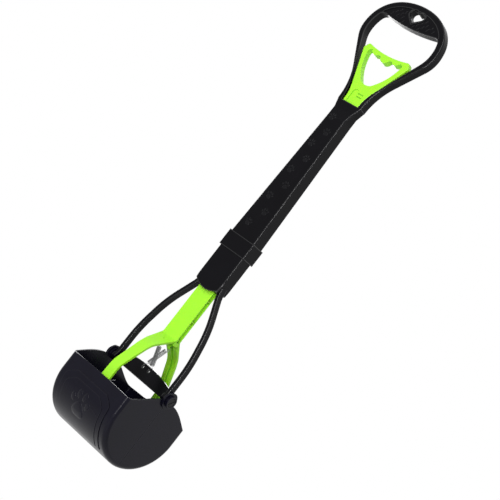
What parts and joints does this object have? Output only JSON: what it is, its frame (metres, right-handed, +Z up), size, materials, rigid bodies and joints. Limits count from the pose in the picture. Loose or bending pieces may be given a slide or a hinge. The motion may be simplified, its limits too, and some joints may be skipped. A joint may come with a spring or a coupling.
{
  "type": "pooper scooper",
  "caption": "Long-handled jaw scooper: a trigger in the loop grip pulls a forked rod that swings the hinged bucket halves open, and tension springs close them.",
  "frame": {"origin": "middle of the heart-shaped hanging hole in the grip plate, at mid depth", "axes": "+Z up along the handle, away from the jaws; X along the jaws' hinge line, +X to the right seen from the front; -Y towards the front jaw"},
  "size_m": [0.132, 0.1418, 0.7175],
  "materials": {
    "black_plastic": "fine satin moulding",
    "green_plastic": "satin moulding, bright lime green",
    "pin_dark": "blackened steel",
    "pin_steel": "plated steel",
    "spring_steel": "bright spring wire"
  },
  "bodies": {
    "frame": {"upper_handle": "black_plastic", "lower_fork": "black_plastic", "left_hinge_pin": "pin_dark", "right_hinge_pin": "pin_dark", "front_spring": "spring_steel", "rear_spring": "spring_steel"},
    "slider": {"trigger_rod": "green_plastic", "pull_fork": "green_plastic", "front_link_pin": "pin_steel", "rear_link_pin": "pin_steel"},
    "front_jaw_body": {"front_jaw": "black_plastic"},
    "rear_jaw_body": {"rear_jaw": "black_plastic"}
  },
  "joints": [
    {"name": "trigger_slide", "type": "slide", "parent": "frame", "child": "slider", "axis": [0, 0, 1], "range_m": [0, 0.032], "stiffness_N_per_m": 400, "springref_m": -0.02, "deforming": ["front_spring", "rear_spring"]},
    {"name": "front_jaw_hinge", "type": "hinge", "parent": "frame", "child": "front_jaw_body", "pos_m": [0, 0, -0.5925], "axis": [1, 0, 0], "range_deg": [-30, 0]},
    {"name": "rear_jaw_hinge", "type": "hinge", "parent": "frame", "child": "rear_jaw_body", "pos_m": [0, 0, -0.5925], "axis": [1, 0, 0], "range_deg": [0, 30]}
  ],
  "couplings": [
    {"joint": "front_jaw_hinge", "follows": "trigger_slide", "rad_per_m": -16.351},
    {"joint": "rear_jaw_hinge", "follows": "trigger_slide", "rad_per_m": 16.351}
  ]
}
